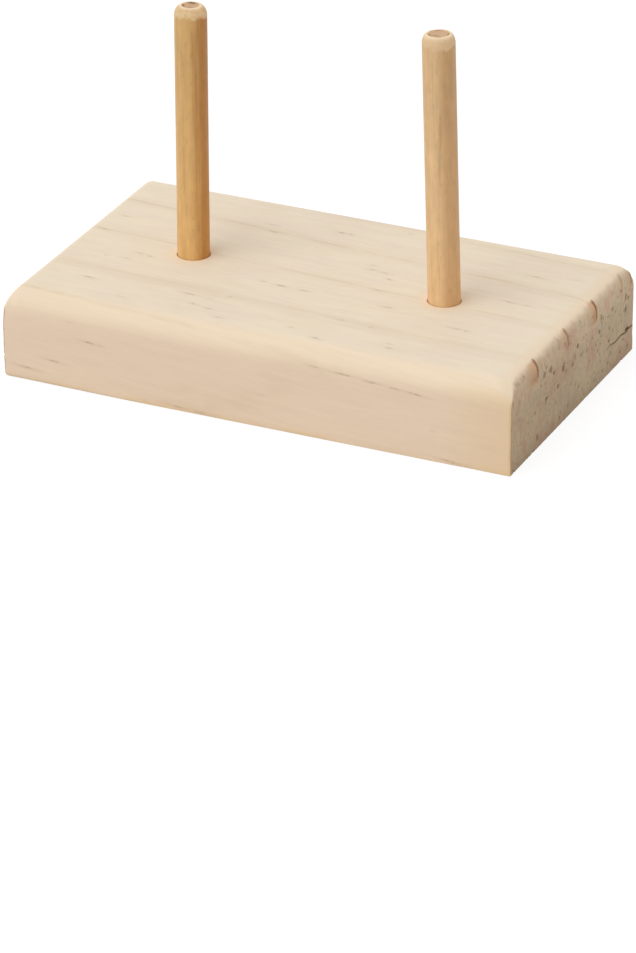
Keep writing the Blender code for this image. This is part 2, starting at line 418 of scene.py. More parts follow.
def canals(bench, x, y, z, thickness, half_width):
    """Resin canals laid open along the grain: how dark the wood is, from 0 to 1."""
    sway_y = (bench.noise(x * 0.5, y * 0.5, 2.0, 2.0) - 0.5) * 0.9
    sway_z = (bench.noise(x * 0.3, 5.0, z * 0.5, 2.0) - 0.5) * 0.30
    on_top = bench.vector(x, y + x * TOP_GRAIN_SLOPE + sway_y, z)
    on_front = bench.vector(x, y, z + x * FRONT_GRAIN_SLOPE + sway_z)
    broken = bench.smooth(bench.noise(x * 1.3, y * 1.6, z * 1.6 + 4.0, 2.0), 0.36, 0.54, 0.45, 1.0)
    spots = [
        (on_top, (middle_x, middle_y + middle_x * TOP_GRAIN_SLOPE, thickness), length, TOP_CANAL_SPREAD, dark)
        for middle_x, middle_y, length, dark in TOP_CANALS
    ]
    for middle_x, middle_z, length, dark in FRONT_CANALS:
        middle = (middle_x, -half_width, middle_z + middle_x * FRONT_GRAIN_SLOPE)
        spots.append((on_front, middle, length, FRONT_CANAL_SPREAD, dark))
    core = halo = 0.0
    for place, middle, length, spread, dark in spots:
        away = bench.reach(place, middle, (length / 2, *spread))
        core = bench.higher(core, bench.smooth(away, 0.2, 1.0, dark, 0.0))
        halo = bench.higher(halo, bench.smooth(away, 0.6, 2.2, dark * 0.22, 0.0))
    return bench.higher(core * broken, halo)


def torn_pits(bench, x, y, z):
    """Small holes that the saw tore in the end grain: the marked ones, and others gathered in patches."""
    ragged = bench.noise(y * 2.4, z * 1.6, 1.0, 2.0) - 0.5
    place = bench.vector(0.0, y + ragged * 0.55, z + ragged * 0.7)
    deepest = 0.0
    for middle_y, middle_z, width, height, dark in END_PITS:
        away = bench.reach(place, (0.0, middle_y, middle_z), (1.0, width * 0.6, height * 0.6))
        deepest = bench.higher(deepest, bench.smooth(away, 0.45, 1.1, dark, 0.0))
    marked = deepest * bench.ramp(x, -1.0, 1.0)
    distance, (presence, size, _third) = bench.cells(x * 0.05, y / 0.9, z / 1.4)
    patch = bench.noise(x * 0.02, y * 0.12, z * 0.15 + 3.0, 1.0)
    present = bench.smooth(presence + patch * 1.6, 1.20, 1.50)
    radius = bench.ramp(size, 0.0, 1.0, 0.16, 0.40)
    return bench.higher(marked, (1.0 - bench.smooth(distance / radius, 0.35, 1.0)) * present * 0.60)


def check_line(y, half_width, sine):
    """The drying check's height at a place across the end, and how far it has run from the back edge."""
    share = (half_width - y) / CHECK_REACH
    height = CHECK_HEIGHT + share * (CHECK_RISE * CHECK_REACH) + sine(share * CHECK_WAVES) * CHECK_WOBBLE
    return height, share


# Node trees and meshes

def geometry_tree(name, sizes):
    """An empty geometry tree with named number inputs, and the wires that bring them in."""
    tree = bpy.data.node_groups.new(name, "GeometryNodeTree")
    tree.interface.new_socket("Geometry", in_out="INPUT", socket_type="NodeSocketGeometry")
    for size_name, value in sizes.items():
        kind = "NodeSocketInt" if isinstance(value, int) else "NodeSocketFloat"
        tree.interface.new_socket(size_name, in_out="INPUT", socket_type=kind)
    tree.interface.new_socket("Geometry", in_out="OUTPUT", socket_type="NodeSocketGeometry")
    bench = Bench(tree)
    inlet = tree.nodes.new("NodeGroupInput")
    return tree, bench, {size_name: Wire(bench, inlet.outputs[size_name]) for size_name in sizes}


def finish_tree(bench, geometry, material):
    """Ends the tree in real, painted, smooth geometry."""
    smooth = bench.node("GeometryNodeSetShadeSmooth", (), {"Geometry": geometry})
    real = bench.node("GeometryNodeRealizeInstances", (), {"Geometry": smooth})
    painted = bench.node("GeometryNodeSetMaterial", (), {"Geometry": real, "Material": material})
    outlet = bench.tree.nodes.new("NodeGroupOutput")
    bench.feed(outlet.inputs["Geometry"], painted)


def linked_object(name, data):
    """A new object in the scene that holds a mesh, a camera or a lamp."""
    thing = bpy.data.objects.new(name, data)
    bpy.context.scene.collection.objects.link(thing)
    return thing


def new_material(name):
    """A new material, a bench for its nodes, and its shader."""
    material = bpy.data.materials.new(name)
    material.use_nodes = True
    return material, Bench(material.node_tree), material.node_tree.nodes["Principled BSDF"]


def grown_mesh(name, tree, sizes):
    """The plain mesh that a geometry tree grows from its sizes."""
    seed = linked_object(name + "_tree", bpy.data.meshes.new(name + "_tree"))
    growth = seed.modifiers.new(tree.name, "NODES")
    growth.node_group = tree
    for item in tree.interface.items_tree:
        if item.in_out == "INPUT" and item.name in sizes:
            growth[item.identifier] = sizes[item.name]
    graph = bpy.context.evaluated_depsgraph_get()
    mesh = bpy.data.meshes.new_from_object(seed.evaluated_get(graph))
    bpy.data.objects.remove(seed, do_unlink=True)
    mesh.name = name
    return mesh


def object_from(name, bm):
    """A new object that holds a bmesh, which is freed."""
    mesh = bpy.data.meshes.new(name)
    bm.to_mesh(mesh)
    bm.free()
    return linked_object(name, mesh)


def cut(piece, cutters):
    """Takes the cutters out of the piece, and leaves it a plain mesh with its own material all over."""
    material = piece.data.materials[-1]
    for cutter in cutters:
        boolean = piece.modifiers.new("Cut", "BOOLEAN")
        boolean.operation = "DIFFERENCE"
        boolean.solver = "EXACT"
        boolean.object = cutter
    graph = bpy.context.evaluated_depsgraph_get()
    mesh = bpy.data.meshes.new_from_object(piece.evaluated_get(graph))
    piece.modifiers.clear()
    mesh.materials.clear()
    mesh.materials.append(material)
    piece.data = mesh
    for cutter in cutters:
        bpy.data.objects.remove(cutter, do_unlink=True)


def finish_piece(piece, node):
    """Hands a finished piece to the frame in place of its CAD node."""
    piece.data.set_sharp_from_angle(angle=SHARP_ANGLE)
    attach(piece, "root")
    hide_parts(node)


# The block

GRID_ALONG = 61
GRID_ACROSS = 293
GRID_UP = 91
END_ZONE = 6.0 * MM
END_ZONE_SHARE = 0.66
TOP_FACE = 0.9999
LEAST_RADIUS = 0.01 * MM
FULLER_SCALE = 9.48
DRILLED_DEEPER = 0.3 * MM


def block_tree(sizes, material):
    """A cube's grid wrapped round the routed block, with the relief that sanding and sawing left."""
    tree, bench, size = geometry_tree("Routed pine block", sizes)
    round_over, thickness = size["Round-over"], size["Thickness"]
    half_x, half_y = size["Length"] * 0.5, size["Width"] * 0.5
    grid = {"Size": (2.0, 2.0, 2.0), "Vertices X": size["Grid along"], "Vertices Y": size["Grid across"],
            "Vertices Z": size["Grid up"]}
    cube = bench.node("GeometryNodeMeshCube", (), grid)
    u, v, w = bench.parts(bench.node("GeometryNodeInputPosition"))
    eighth_arc = round_over * EIGHTH_TURN

    # The unrolled height: the side wall, then the lower half of the routed arc
    wall = thickness - round_over
    unrolled_z = (w + 1.0) * 0.5 * (wall + eighth_arc)
    side_angle = bench.higher(unrolled_z - wall, 0.0) / round_over
    side_inset = 1.0 - bench.maths("COSINE", side_angle)
    arc_share = side_inset / (1.0 - math.cos(EIGHTH_TURN))
    side_z = bench.lower(unrolled_z, wall) + bench.maths("SINE", side_angle) * round_over

    def across(share, half, reach):
        """One plan coordinate, the routed arc's drop there, and the inset as a share of the arc's reach."""
        unrolled = abs(share) * (half - reach + eighth_arc)
        angle = bench.higher(unrolled - (half - reach), 0.0) / round_over
        arc = bench.lower(unrolled, half - reach) + bench.maths("SINE", angle) * reach
        drop = (1.0 - bench.maths("COSINE", angle)) * round_over
        place = bench.maths("SIGN", share) * bench.blend(arc_share, abs(share) * half, arc)
        return place, drop, (half - arc) / reach

    end_share = 1.0 - size["End zone"] / half_x
    crowded_u = bench.maths("SIGN", u) * (
        bench.ramp(abs(u), 0.0, 1.0 - END_ZONE_SHARE, 0.0, end_share)
        + bench.ramp(abs(u), 1.0 - END_ZONE_SHARE, 1.0, 0.0, 1.0 - end_share)
    )
    x, drop_x, inset_x = across(crowded_u, half_x, size["End round-over"])
    y, drop_y, inset_y = across(v, half_y, round_over)
    on_top = bench.maths("GREATER_THAN", w, TOP_FACE)
    z = bench.blend(on_top, side_z, thickness - bench.higher(drop_x, drop_y))
    inset = bench.blend(on_top, side_inset, bench.lower(inset_x, inset_y))

    # Round the corners in plan: the arrises are just eased, and the upper corners are rubbed rounder
    chip = bench.smooth(bench.noise(x * 260.0, y * 260.0, z * 240.0, 2.0), 0.56, 0.75, 0.9, 1.6)
    low = bench.smooth(z, 1.0 * MM, 4.0 * MM, 1.0, 0.0)
    chip = chip * (low * (bench.smooth(x, half_x * -1.0, half_x * -0.45, 1.9, 0.4) - 1.0) + 1.0)
    rubbed = bench.smooth(z, thickness - round_over * RUBBED_FROM, thickness - round_over * RUBBED_TO)
    fading = bench.smooth(inset, 1.0, 3.0, 1.0, 0.0)
    nearest = bench.maths("GREATER_THAN", x, 0.0) * bench.maths("LESS_THAN", y, 0.0)
    corner = bench.blend(nearest, size["Far corners"], size["Corner"])
    radius = bench.higher(bench.blend(rubbed, size["Arris"] * chip, corner) * fading, LEAST_RADIUS)
    level_x = bench.higher(half_x - inset * size["End round-over"] - radius, 0.0)
    level_y = bench.higher(half_y - inset * round_over - radius, 0.0)
    core_x = bench.higher(bench.lower(x, level_x), level_x * -1.0)
    core_y = bench.higher(bench.lower(y, level_y), level_y * -1.0)
    core_z = bench.higher(z, bench.lower(radius, size["Arris"] * chip))
    core = bench.vector(core_x, core_y, core_z)
    outward = bench.vector_maths("NORMALIZE", bench.vector(x - core_x, y - core_y, z - core_z))
    eased = bench.vector_maths("ADD", core, bench.scaled(outward, radius))
    shaped = bench.node("GeometryNodeSetPosition", (), {"Geometry": cube, "Position": eased})

    # The relief, in millimetres
    px, py, pz = (part * PER_MM for part in bench.parts(bench.node("GeometryNodeInputPosition")))
    half_length, thick = half_x * PER_MM, thickness * PER_MM
    end_reach = size["End round-over"] * PER_MM
    _band, _line, cap, _arc, dip = hard_rings(bench, across_rings(bench, px, py, pz, half_length, thick))
    right_turn = bench.ramp(1.0 - (half_length - px) / end_reach, 0.0, 1.0)
    from_mitre = (half_y * PER_MM - abs(py)) / (round_over * PER_MM) - (half_length - px) / end_reach
    fuller = right_turn * right_turn * right_turn * (1.0 - right_turn) * bench.smooth(from_mitre, 0.0, 0.6)
    fuller = fuller * FULLER_SCALE * bench.smooth(pz, 6.0, 10.0)
    sanded = bench.smooth(right_turn, 0.60, 0.85) * bench.smooth(pz, 12.6, 14.6)
    ridges = (cap - dip * 0.7) * sanded * size["Ridge"] * PER_MM
    sawn = bench.smooth(1.0 - (half_length - abs(px)) / end_reach, 0.88, 1.0)
    torn = torn_pits(bench, px, py, pz) * sawn * size["Pit"] * PER_MM
    fuzz = (bench.noise(px * 0.4, py * 2.0, pz * 1.0, 3.0, 0.6) - 0.5) * 0.12 * sawn
    left_turn = bench.ramp(1.0 - (half_length + px) / end_reach, 0.0, 1.0)
    worn_left = bench.smooth(left_turn, 0.15, 0.65) * bench.smooth(pz, 10.5, 14.0)
    worn_left = worn_left * bench.ramp(py, -25.0, 25.0, 1.0, 0.3)
    depth = (ridges + fuzz - torn) * MM + fuller * size["Fullness"] - worn_left * size["Left wear"]
    left_end = half_length * -1.0
    splayed = bench.smooth(px, left_end, left_end + 5.0, 1.0, 0.0) * bench.smooth(pz, 13.0, 17.0, 1.0, 0.0)
    aside = bench.vector(splayed * size["Splay"] * -1.0, 0.0, 0.0)
    relief = bench.vector_maths("ADD", bench.scaled(bench.node("GeometryNodeInputNormal"), depth), aside)
    worn = bench.node("GeometryNodeSetPosition", (), {"Geometry": shaped, "Offset": relief})
    finish_tree(bench, worn, material)
    return tree


def pine_material(settings):
    """Solid pine: rings, fibre and resin canals run through the block along X."""
    material, bench, shader = new_material("planed_pine_wood")
    x, y, z = (part * PER_MM for part in bench.parts(bench.node("ShaderNodeTexCoord", out="Object")))
    half_length, thick = settings.length * PER_MM / 2, settings.thickness * PER_MM
    half_width, radius = settings.width * PER_MM / 2, settings.round_over * PER_MM
    end_reach = settings.end_round_over * PER_MM
    from_end, from_side = half_length - abs(x), half_width - abs(y)
    on_right = bench.smooth(x, -5.0, 5.0)
    nearest = on_right * bench.smooth(y, -1.0, 1.0, 1.0, 0.0)
    corner = bench.blend(nearest, settings.far_corner * PER_MM * 0.6, settings.corner * PER_MM * 0.38)
    rubbed_corner = bench.smooth(z, thick - radius * RUBBED_FROM, thick - radius * RUBBED_TO) * corner
    on_end = bench.smooth(from_side - from_end - rubbed_corner, 0.0, rubbed_corner + 0.12)
    on_side = 1.0 - on_end
    band, line, cap, arc, _dip = hard_rings(bench, across_rings(bench, x, y, z, half_length, thick))

    # Long grain on the top, the front and the back
    sheared_y, sheared_z = y + x * TOP_GRAIN_SLOPE, z + x * FRONT_GRAIN_SLOPE
    streaks = bench.noise(x * 0.045, sheared_y * 0.9, sheared_z * 0.9, 3.0, 0.55)
    fibre = bench.noise(x * 0.22, sheared_y * 5.0, sheared_z * 5.0, 2.0, 0.6)
    mottle = bench.noise(x * 0.10, y * 0.16, z * 0.16, 2.0)
    cast = bench.noise(x * 0.07, y * 0.22, z * 0.22 + 4.0, 2.0)
    broken = bench.smooth(bench.noise(x * 0.16, y * 0.4, z * 0.4 + 9.0, 2.0), 0.38, 0.58, 0.15, 1.0)
    around_side, around_end = 1.0 - from_side / radius, 1.0 - from_end / end_reach
    flat = bench.smooth(around_side, 0.72, 1.0) * on_side
    # The round-overs take the routed colour: fresh-cut wood, and partly a painted highlight that brightens
    # them
    fresh_cut_and_highlight = bench.higher(bench.smooth(around_side, 0.25, 0.65) * on_side, bench.smooth(around_end, 0.0, 0.45))
    pale = bench.mix(bench.smooth(cast, 0.40, 0.60), settings.earlywood, settings.pinkwood)
    pale = bench.mix(bench.smooth(mottle, 0.45, 0.70, 0.0, 0.06), pale, settings.latewood)
    board = bench.mix(band * (1.0 - flat * 0.8) * 0.17, pale, settings.latewood)
    board = bench.mix(flat, board, bench.mix(0.12, settings.flat_grain, pale))
    board = bench.mix(fresh_cut_and_highlight * bench.smooth(z, 12.0, 15.5, 0.0, 0.9), board, settings.routed)
    thinned = bench.smooth(around_side, 0.15, 0.65, 1.0, 0.3)
    board = bench.mix(line * broken * thinned * 0.52, board, settings.latewood)
    rubbed = bench.smooth(from_end, 0.15, 0.9, 0.85, 0.0) * bench.smooth(z, thick - radius, thick, 1.0, 0.0)
    stained = bench.smooth(x, half_length - 16.0, half_length, 0.0, 0.45)
    board = bench.mix(bench.higher(rubbed * on_right, stained) * flat, board, settings.edge)
    foot = bench.smooth(z, 0.3, 1.4, 0.5, 0.0) * bench.smooth(mottle, 0.40, 0.55, 0.4, 1.0)
    board = bench.mix(foot * flat, board, settings.edge)
    turned_over = bench.smooth(around_end, 0.05, 0.5)
    streaky = ((streaks - 0.5) * 0.6 + (fibre - 0.5) * 0.4) * (1.0 - turned_over * 0.8) + 0.5
    board = bench.toned(board, bench.ramp(streaky, 0.3, 0.7, 0.96, 1.04))
    board = bench.mix(canals(bench, x, y, z, thick, half_width) * (0.8 - flat * 0.28), board, settings.resin)

    # End grain, which begins part of the way round the routed edge
    ragged = bench.noise(x * 0.5, y * 0.8, z * 0.8, 2.0) - 0.5
    end = bench.smooth(around_end + ragged * 0.2, 0.55, 0.97) * on_end
    grit = bench.noise(x * 0.5, y * 2.2, z * 1.0, 4.0, 0.7)
    scored = bench.noise(x * 0.1, y * 2.4, z * 0.22, 2.0, 0.5)
    patches = bench.noise(x * 0.05 + 3.0, y * 0.28, z * 0.36, 2.0)
    sawn = bench.mix(bench.smooth(patches, 0.48, 0.60), settings.end_grain, settings.end_pink)
    sawn = bench.mix(bench.smooth(patches, 0.38, 0.50, 0.8, 0.0), sawn, settings.end_grey)
    # Painted shade near the floor along the foot of the end, and the end's front half a little darker
    sawn = bench.mix(bench.smooth(z, 0.0, 4.5, 0.16, 0.0), sawn, settings.ring_line_and_shade)
    sawn = bench.mix(bench.smooth(y, -3.0, 5.0, 0.15, 0.03), sawn, settings.ring_line_and_shade)
    rough_cut = bench.smooth(around_end, 0.84, 1.0)
    uneven = ((grit - 0.5) * 0.55 + (scored - 0.5) * 0.45) * rough_cut + 0.5
    roughened = bench.ramp(uneven, 0.32, 0.68, 0.83, 1.14)
    sawn = bench.toned(sawn, roughened * bench.smooth(z, 9.5, 15.5, 0.95, 1.13))
    # Painted shade in the tiny pits and the torn pits of the end grain
    near, (seldom, spread, _third) = bench.cells(x * 0.05, y / 0.6, z / 1.0)
    specks = (1.0 - bench.smooth(near / bench.ramp(spread, 0.0, 1.0, 0.15, 0.40), 0.4, 1.0))
    sawn = bench.mix(specks * bench.smooth(seldom, 0.50, 0.62) * 0.36, sawn, settings.hollow_shade)
    sawn = bench.mix(torn_pits(bench, x, y, z) * 0.9, sawn, settings.hollow_shade)
    sawn = bench.mix(bench.smooth(from_side, 0.35, 0.9, 0.65, 0.0), sawn, settings.burnished)
    colour = bench.mix(end, board, sawn)

    # The hard rings, which sanding left proud and darker where the edge rolls over; the caps' lower parts and
    # the arcs that close them take painted shade as well as the latewood's own dark
    shoulder = bench.smooth(around_end + ragged * 0.15, 0.58, 0.78) * bench.smooth(z, 12.9, 14.2)
    shoulder = shoulder * on_end * (on_right * 0.85 + 0.15) * bench.ramp(grit, 0.35, 0.60, 0.7, 1.0)
    colour = bench.mix(cap * shoulder * 0.8, colour, settings.hard_ring)
    # Painted shade and latewood brown on the lower part of each cap and along the arc behind it
    cap_brown_and_shade = cap * bench.smooth(z, 14.6, 16.6, 0.55, 0.0) * bench.smooth(grit, 0.42, 0.58, 0.5, 1.0)
    closing = arc * bench.smooth(z, 13.4, 14.6, 0.0, 0.85)
    colour = bench.mix(bench.higher(closing, cap_brown_and_shade) * shoulder, colour, settings.ring_line_and_shade)

    # The drying check, with painted shade inside it and in the bores, and painted light round the bores
    check_z, run = check_line(y, half_width, lambda angle: bench.maths("SINE", angle))
    opened = bench.smooth(abs(z - check_z), 0.08, 0.28, 1.0, 0.0) * bench.smooth(run, 0.55, 1.0, 1.0, 0.0)
    opened = opened * bench.smooth(x, half_length - 3.0, half_length - 2.0) * 0.75
    colour = bench.mix(opened, colour, settings.hollow_shade)
    bore = settings.bore * PER_MM / 2
    upper = bench.smooth(z, thick - 6.0, thick - 5.0)
    below_rim = bench.smooth(z, thick - 0.35, thick - 0.1, 1.0, 0.0)
    for foot_place in (LEFT_FOOT, RIGHT_FOOT):
        axis = (foot_place.x * PER_MM, foot_place.y * PER_MM, 0.0)
        away = bench.reach(bench.vector(x, y, 0.0), axis, (1.0, 1.0, 1.0))
        # A pale ring round each bore: partly the paler wood at the bore's edge, partly painted light that
        # lifts the pin's shadow there
        painted_bore_light = bench.smooth(away, bore + 0.3, bore + 2.2, 0.85, 0.0) * upper
        colour = bench.mix(painted_bore_light, colour, settings.routed)
        # Painted shade on the bore's wall just under its rim, where the gap round the pin is in shadow
        inside = bench.smooth(away, bore + 0.10, bore + 0.16, 1.0, 0.0) * upper * below_rim
        colour = bench.mix(inside * 0.85, colour, settings.hollow_shade)
    bench.feed(shader.inputs["Base Color"], colour)
    bench.feed(shader.inputs["Roughness"], bench.blend(end, 0.62, 0.85))
    smoothed = bench.higher(flat * 0.5, turned_over * 0.9)
    strength = bench.higher(1.0 - smoothed, rough_cut * on_end) * 0.4
    bump = bench.node("ShaderNodeBump", (), {"Strength": strength, "Distance": 0.04 * MM, "Height": fibre})
    bench.feed(shader.inputs["Normal"], bump)
    shader.inputs["Specular IOR Level"].default_value = 0.12
    return material


DRILL_SIDES = 96
DRILL_POINT_ANGLE = math.radians(118)
DRILL_OVERRUN = 3.0 * MM
DRILL_FLARE_DEPTH = 0.35 * MM
DRILL_FLARE_CURVE = 0.35


def drill(name, foot, lean, radius, flare, depth):
    """A twist drill's turned shape, standing in the bore that it cuts, with the rim that it crushed."""
    point = radius / math.tan(DRILL_POINT_ANGLE / 2)
    profile = (
        (0.0, -depth - point), (radius, -depth), (radius, -DRILL_FLARE_DEPTH),
        (radius + flare * DRILL_FLARE_CURVE, -flare), (radius + flare, 0.0),
        (radius + flare, DRILL_OVERRUN), (0.0, DRILL_OVERRUN),
    )
    bm = bmesh.new()
    points = [bm.verts.new((out, 0.0, up)) for out, up in profile]
    edges = [bm.edges.new(pair) for pair in zip(points, points[1:])]
    bmesh.ops.spin(
        bm, geom=points + edges, cent=(0, 0, 0), axis=(0, 0, 1), angle=FULL_TURN, steps=DRILL_SIDES,
        use_merge=True,
    )
    bmesh.ops.remove_doubles(bm, verts=bm.verts, dist=WELD)
    bmesh.ops.recalc_face_normals(bm, faces=bm.faces)
    bmesh.ops.transform(bm, matrix=Matrix.Translation(foot) @ Matrix.Rotation(-lean, 4, "Y"), verts=bm.verts)
    return object_from(name, bm)


CHECK_STEPS = 24
CHECK_OVERRUN = 1.0


def check_cutter(settings):
    """The thin wedge of the drying check that runs in from the back edge of the right-hand end."""
    half_width, end = settings.width * PER_MM / 2, settings.length * PER_MM / 2
    bm = bmesh.new()
    rings = []
    for step in range(CHECK_STEPS + 1):
        y = half_width + CHECK_OVERRUN - step / CHECK_STEPS * CHECK_REACH
        z, share = check_line(y, half_width, math.sin)
        closing = 1 - max(share, 0)
        half = CHECK_MOUTH * (0.15 + 0.85 * closing ** 0.7) / 2 * (1 + 0.3 * math.sin(share * 23))
        near_back = min(max(share, 0) * 4, 1)
        inner = end - CHECK_DEPTH * (0.15 + 0.85 * near_back) * (0.4 + 0.6 * closing)
        outer = end + CHECK_OVERRUN
        corners = ((inner, z), (outer, z - half), (outer, z + half))
        rings.append([bm.verts.new((corner_x * MM, y * MM, corner_z * MM)) for corner_x, corner_z in corners])
    for first, second in zip(rings, rings[1:]):
        for index in range(3):
            following = (index + 1) % 3
            bm.faces.new((first[index], second[index], second[following], first[following]))
    bm.faces.new(rings[0])
    bm.faces.new(rings[-1][::-1])
    bmesh.ops.recalc_face_normals(bm, faces=bm.faces)
    return object_from("check_cutter", bm)


def merge_underside(mesh):
    """Makes one face of the flat underside's grid."""
    bm = bmesh.new()
    bm.from_mesh(mesh)
    underside = [face for face in bm.faces if all(abs(corner.co.z) < WELD for corner in face.verts)]
    bmesh.ops.dissolve_faces(bm, faces=underside, use_verts=False)
    bm.to_mesh(mesh)
    bm.free()


class THREADSTAND_OT_block(bpy.types.Operator):
    """Build the routed pine block with its bores and its worn, sawn ends"""

    bl_idname = "thread_stand.block"
    bl_label = "Pine Block"

    def execute(self, context):
        settings = context.scene.thread_stand_block
        pins = context.scene.thread_stand_pins
        sizes = {
            "Length": settings.length, "Width": settings.width, "Thickness": settings.thickness,
            "Round-over": settings.round_over, "End round-over": settings.end_round_over,
            "Fullness": settings.fullness, "Left wear": settings.left_wear, "Splay": settings.splay,
            "Corner": settings.corner, "Far corners": settings.far_corner,
            "Arris": settings.arris, "Ridge": settings.ridge,
            "Pit": settings.pit, "End zone": END_ZONE,
            "Grid along": GRID_ALONG, "Grid across": GRID_ACROSS, "Grid up": GRID_UP,
        }
        tree = block_tree(sizes, pine_material(settings))
        mesh = grown_mesh("pine_block", tree, sizes)
        merge_underside(mesh)
        block = linked_object("pine_block", mesh)
        depth = pins.seat + DRILLED_DEEPER
        radius = settings.bore / 2
        cut(block, [
            drill("left_drill", LEFT_FOOT, pins.left_lean, radius, settings.flare, depth),
            drill("right_drill", RIGHT_FOOT, pins.right_lean, radius, settings.flare, depth),
            check_cutter(settings),
        ])
        finish_piece(block, "base_block")
        return {"FINISHED"}


# The pins

PIN_SIDES = 112
PIN_ROWS = 220
CROWN_END_SHARE = 0.10
SHOULDER_END_SHARE = 0.28
SHAFT_END_SHARE = 0.94
FOOT_END_SHARE = 0.96

# Marks on each pin, in millimetres: the bearing in degrees from +X, how far below the crown, the width,
# the length and the strength of each
AMBER_STREAKS = (
    (-60.0, 7.0, 0.9, 9.0, 0.40), (-50.0, 15.0, 0.7, 14.0, 0.30), (-18.0, 24.0, 0.9, 18.0, 0.35),
    (-95.0, 30.0, 0.6, 16.0, 0.25), (-30.0, 38.0, 0.7, 14.0, 0.25), (-120.0, 12.0, 0.5, 10.0, 0.18),
)
PALE_STREAKS = (
    (-66.0, 17.0, 1.0, 9.0, 0.75), (-72.0, 24.0, 0.8, 10.0, 0.55), (-52.0, 8.0, 1.1, 9.0, 0.40),
    (-30.0, 20.0, 0.8, 22.0, 0.30), (-48.0, 33.0, 0.9, 16.0, 0.45), (-85.0, 42.0, 0.7, 10.0, 0.35),
)

# Dark marks on the crowns: x and y from the crown's middle, the half sizes and the strength
AMBER_CROWN_MARKS = (
    (-1.35, -0.55, 0.55, 0.50, 1.0), (-0.45, 1.20, 1.5, 0.45, 0.75), (0.35, -0.55, 0.8, 0.45, 0.35),
)
PALE_CROWN_MARKS = (
    (-1.30, -1.15, 0.55, 0.60, 0.55), (-0.15, -0.75, 0.95, 0.30, 0.60), (1.85, 0.45, 0.45, 0.75, 0.9),
    (0.75, -1.55, 1.2, 0.22, 0.45), (-1.0, 1.5, 1.0, 0.35, 0.30),
)


def pin_tree(name, sizes, foot, material):
    """A grid rolled round the pin's outline, with a tip that was sanded by hand."""
    tree, bench, size = geometry_tree(name, sizes)
    grid = {"Size X": 1.0, "Size Y": 1.0, "Vertices X": size["Sides"], "Vertices Y": size["Rows"]}
    sheet = bench.node("GeometryNodeMeshGrid", (), grid)
    u, v, _w = bench.parts(bench.node("GeometryNodeInputPosition"))
    angle = (u + 0.5) * FULL_TURN
    cosine, sine = bench.maths("COSINE", angle), bench.maths("SINE", angle)
    run = 0.5 - v

    crown = bench.ramp(run, 0.0, CROWN_END_SHARE)
    shoulder = bench.ramp(run, CROWN_END_SHARE, SHOULDER_END_SHARE) * QUARTER_TURN
    shaft = bench.ramp(run, SHOULDER_END_SHARE, SHAFT_END_SHARE)
    foot_cut = bench.ramp(run, SHAFT_END_SHARE, FOOT_END_SHARE)
    base = bench.ramp(run, FOOT_END_SHARE, 1.0)
    radius = size["Diameter"] * 0.5
    hand = bench.noise(cosine * 1.1, sine * 1.1, size["Seed"], 2.0)
    uneven = bench.noise(cosine * 0.8, sine * 0.8, size["Seed"] + 5.0, 1.0)
    tip = size["Tip"] * bench.ramp(hand, 0.25, 0.75, 0.80, 1.20)
    crown_radius = size["Crown"] * 0.5 * bench.ramp(uneven, 0.25, 0.75, 0.90, 1.08)
    chamfer = size["Foot chamfer"]
    out = crown_radius * crown + (radius - crown_radius) * bench.maths("SINE", shoulder) - chamfer * foot_cut
    out = out * (1.0 - base)
    shaft_length = size["Reach"] + size["Seat"] - tip - chamfer
    fallen = tip * (1.0 - bench.maths("COSINE", shoulder)) + shaft_length * shaft + chamfer * foot_cut
    dish = (1.0 - crown * crown) * 0.22 * MM
    near_tip = bench.ramp(shaft, 0.0, 0.05, 1.0, 0.0)
    rough = bench.noise(cosine * out * 900.0, sine * out * 900.0, size["Seed"], 3.0)
    rough = (rough - 0.5) * 0.10 * MM * near_tip
    height = size["Reach"] - fallen - dish + rough * (1.0 - bench.ramp(shoulder, 0.0, 0.4))
    flutes = (bench.noise(cosine * 5.0, sine * 5.0, height * 18.0, 2.0) - 0.5) * 0.04 * MM
    out = out + (flutes + rough * 0.6) * bench.ramp(run, CROWN_END_SHARE, SHOULDER_END_SHARE) * (1.0 - base)
    unturned = bench.maths("COSINE", shoulder) * (1.0 - base)
    aside, back = size["Aside"] * unturned, size["Back"] * unturned
    upright = bench.vector(cosine * out + aside, sine * out + back, height)
    tilt = {"Vector": upright, "Center": (0.0, 0.0, 0.0), "Angle": size["Lean"] * -1.0}
    leaning = bench.node("ShaderNodeVectorRotate", {"rotation_type": "Y_AXIS"}, tilt)
    placed = bench.vector_maths("ADD", leaning, tuple(foot))
    rolled = bench.node("GeometryNodeSetPosition", (), {"Geometry": sheet, "Position": placed})
    closed = bench.node("GeometryNodeMergeByDistance", (), {"Geometry": rolled, "Distance": WELD})
    finish_tree(bench, closed, material)
    return tree


class Dowel:
    """What sets one pin apart from the other."""

    def __init__(self, name, node, slot):
        self.name, self.node, self.slot = name, node, slot

    def standing(self, foot, lean, reach):
        """Where it stands, and how it stands there."""
        self.foot, self.lean, self.reach = foot, lean, reach

    def tipped(self, crown, middle, sanded_front, sanded_side, marks):
        """Its crown, and how far down the tip was sanded in front and at the sides."""
        self.crown, self.middle, self.marks = crown, middle, marks
        self.sanded_front, self.sanded_side = sanded_front, sanded_side

    def grown(self, wood, shade, shade_bearing, streaks, seed):
        """Its wood, the colour of its streaks and of the painted shade down the side turned from the light,
        that side's bearing, and the seed of its finer grain.
        """
        self.wood, self.shade, self.shade_bearing = wood, shade, math.radians(shade_bearing)
        self.streaks, self.seed = streaks, seed


